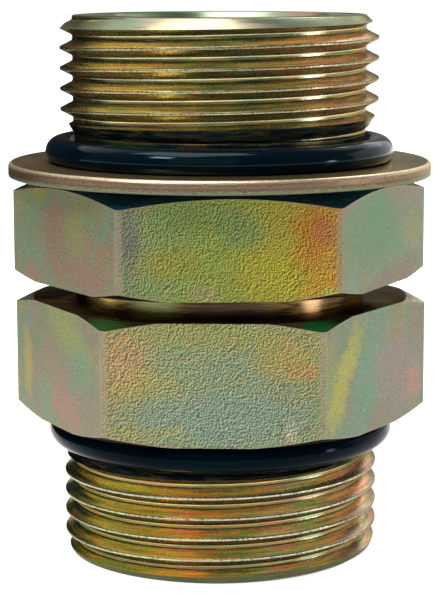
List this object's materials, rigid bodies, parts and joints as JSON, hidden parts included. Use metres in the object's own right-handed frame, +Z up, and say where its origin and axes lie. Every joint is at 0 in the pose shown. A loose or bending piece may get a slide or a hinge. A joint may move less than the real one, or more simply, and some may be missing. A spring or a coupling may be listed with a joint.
{
  "type": "hydraulic adapter fitting",
  "caption": "Straight threaded adapter with a fixed stud, a hexagon, and an adjustable stud locked by a nut and washer; rubber rings seal both ends.",
  "frame": {"origin": "centre of the lower stud's end face, where the bore opens", "axes": "+Z up the bore axis from the fixed stud to the adjustable stud; -Y is the front, which the hexagons nearly face"},
  "size_m": [0.0444, 0.0444, 0.0567],
  "materials": {
    "plated_body": "yellow chromate over zinc on turned steel, iridescent, with a coarse satin hexagon",
    "plated_nut": "yellow chromate over zinc on steel, iridescent, pebbled faces",
    "plated_washer": "yellow chromate over zinc on a blanked steel ring, brownish, bright worn rim",
    "rubber_ring": "black nitrile rubber, smooth, with a slight gloss"
  },
  "bodies": {
    "adapter": {"adapter_body": "plated_body", "upper_o_ring": "rubber_ring", "lower_o_ring": "rubber_ring"},
    "washer": {"backup_washer": "plated_washer"},
    "nut": {"lock_nut": "plated_nut"}
  },
  "joints": [
    {"name": "washer_slide", "type": "slide", "parent": "adapter", "child": "washer", "axis": [0, 0, 1], "range_m": [-0.0021, 0]},
    {"name": "lock_nut_spin", "type": "hinge", "parent": "washer", "child": "nut", "pos_m": [0, 0, 0.03473], "axis": [0, 0, 1], "range_deg": [-357.5, 0]}
  ],
  "couplings": [
    {"joint": "lock_nut_spin", "follows": "washer_slide", "rad_per_m": 2968.4}
  ]
}
